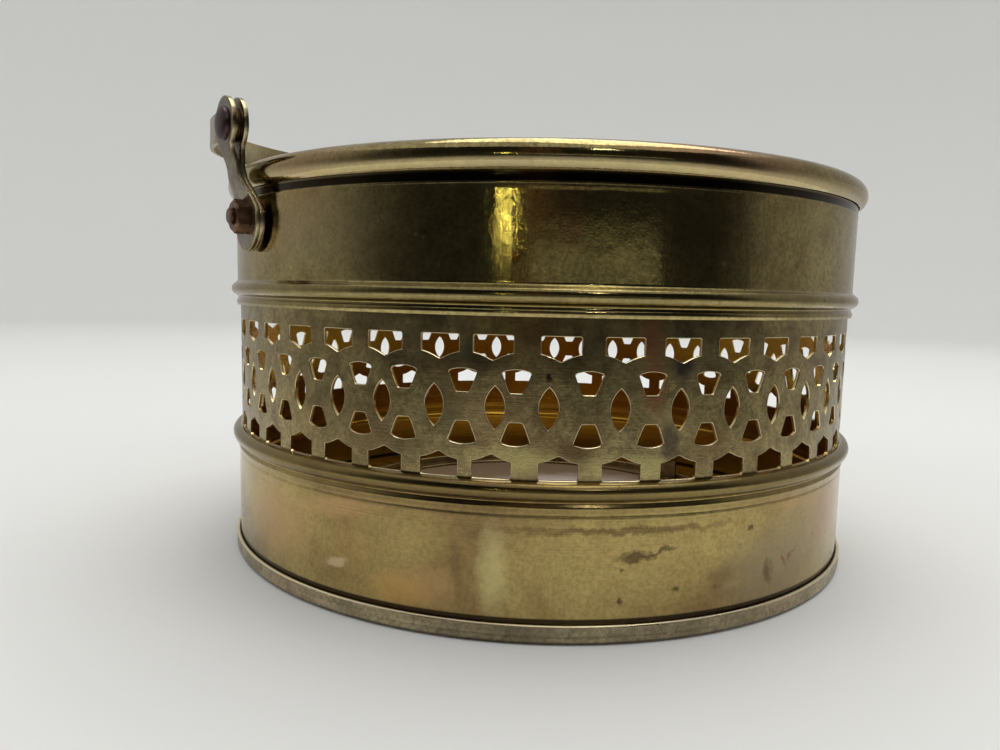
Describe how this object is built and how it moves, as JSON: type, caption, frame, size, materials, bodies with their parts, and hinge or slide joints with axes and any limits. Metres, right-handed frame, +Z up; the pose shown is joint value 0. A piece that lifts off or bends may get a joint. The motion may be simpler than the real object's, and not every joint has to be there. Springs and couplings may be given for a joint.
{
  "type": "spirit stove",
  "caption": "Round pierced-metal spirit stove with a rolled rim, a swinging strap bail and a lift-out spirit pan.",
  "frame": {"origin": "centre of the flat base, on the drum's axis, at the surface the stove stands on", "axes": "+Z up along the drum's axis; -Y is the front"},
  "size_m": [0.1467, 0.1467, 0.0945],
  "materials": {
    "brass_sheet": "aged satin",
    "brass_dark": "tarnished satin",
    "fastener": "tarnished copper brown",
    "pad": "matt fibre"
  },
  "bodies": {
    "drum": {"base_plate": "brass_dark", "lower_band": "brass_sheet", "fretwork_band": "brass_sheet", "collar": "brass_sheet", "rim_wire": "brass_dark", "pan_locator": "brass_dark", "ear_inner_a": "brass_dark", "ear_inner_b": "brass_dark", "ear_outer_a": "brass_sheet", "ear_outer_b": "brass_sheet", "ear_spacer_a": "fastener", "ear_spacer_b": "fastener", "ear_bolt_a": "fastener", "ear_bolt_b": "fastener", "ear_nut_a": "fastener", "ear_nut_b": "fastener", "pivot_rivet_a": "brass_dark", "pivot_rivet_b": "brass_dark", "pivot_washer_a": "brass_sheet", "pivot_washer_b": "brass_sheet"},
    "bail": {"bail_strap": "brass_sheet"},
    "spirit_pan": {"pan_dish": "brass_sheet", "pan_pad": "pad", "pan_ring": "brass_dark", "pan_tab_a": "brass_dark", "pan_tab_b": "brass_dark"}
  },
  "joints": [
    {"name": "bail_swing", "type": "hinge", "parent": "drum", "child": "bail", "pos_m": [0, 0, 0.0858], "axis": [0.7986, 0.6018, 0], "range_deg": [-20, 191]},
    {"name": "pan_lift", "type": "slide", "parent": "drum", "child": "spirit_pan", "axis": [0, 0, 1], "range_m": [0, 0.1]}
  ]
}
